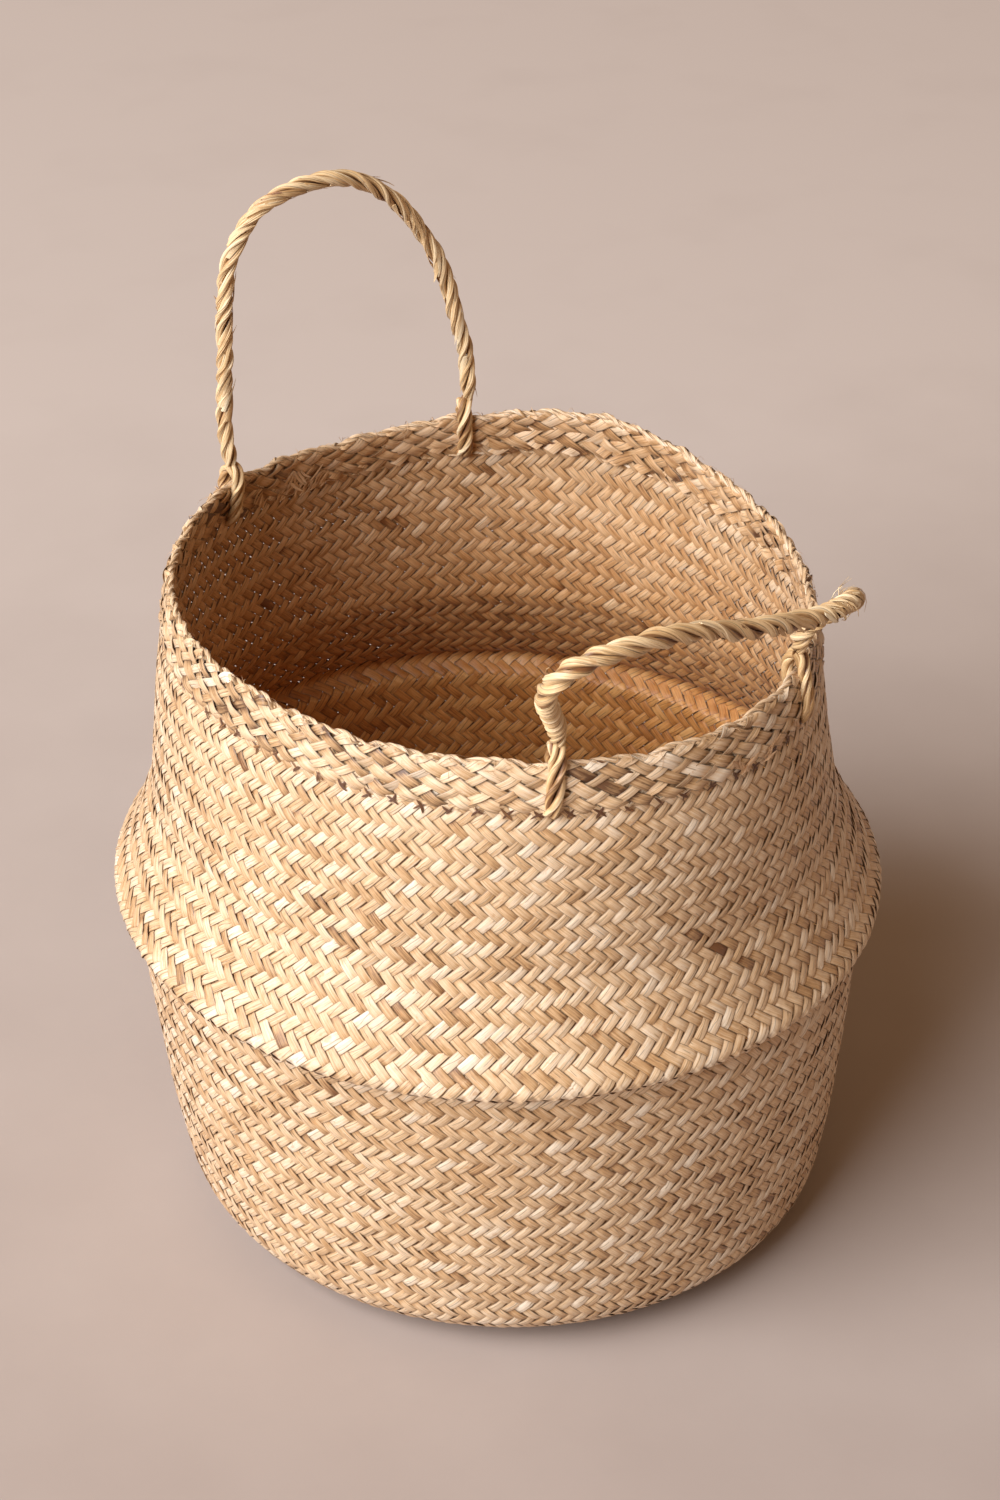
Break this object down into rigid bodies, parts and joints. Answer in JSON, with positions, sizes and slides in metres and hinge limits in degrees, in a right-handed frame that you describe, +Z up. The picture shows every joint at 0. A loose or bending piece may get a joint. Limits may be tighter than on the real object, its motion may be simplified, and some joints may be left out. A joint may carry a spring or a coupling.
{
  "type": "belly basket",
  "caption": "Round plaited seagrass basket with a fold round its belly, a folded border, and rope handles that swing on its rim.",
  "frame": {"origin": "middle of the floor's underside, on the surface that the basket stands on", "axes": "+Z up through the mouth, +Y towards the handle that stands up, -Y towards the handle that has flopped outwards, +X to the right seen from the -Y side"},
  "size_m": [0.4, 0.4154, 0.5257],
  "materials": {
    "wall_straw": "flat dried seagrass strips in a diagonal two-over-two twill, satin with fine lengthwise fibres",
    "border_straw": "wider folded seagrass strips, paler and smoother than the wall",
    "base_straw": "flat dried seagrass strips, a little darker than the wall",
    "rope_straw": "three-strand twisted seagrass rope, yellower than the wall"
  },
  "bodies": {
    "bowl": {"woven_base": "base_straw", "lower_wall": "wall_straw", "belly_fold": "wall_straw"},
    "collar": {"upper_wall": "wall_straw", "outer_border": "border_straw", "inner_border": "border_straw", "rim_lip": "border_straw", "back_left_tie": "rope_straw", "back_right_tie": "rope_straw", "front_left_tie": "rope_straw", "front_right_tie": "rope_straw"},
    "back_handle": {"back_handle_rope": "rope_straw"},
    "front_handle": {"front_handle_rope": "rope_straw"}
  },
  "joints": [
    {"name": "collar_press", "type": "slide", "parent": "bowl", "child": "collar", "axis": [0, 0, 1], "range_m": [-0.03, 0.006], "deforming": ["belly_fold"]},
    {"name": "back_handle_swing", "type": "hinge", "parent": "collar", "child": "back_handle", "pos_m": [-0.0076, 0.15573, 0.36795], "axis": [-0.9997, -0.0248, 0], "range_deg": [-95, 95]},
    {"name": "front_handle_swing", "type": "hinge", "parent": "collar", "child": "front_handle", "pos_m": [-0.00133, -0.14291, 0.36795], "axis": [0.9971, 0.0762, 0], "range_deg": [-105, 75]}
  ]
}
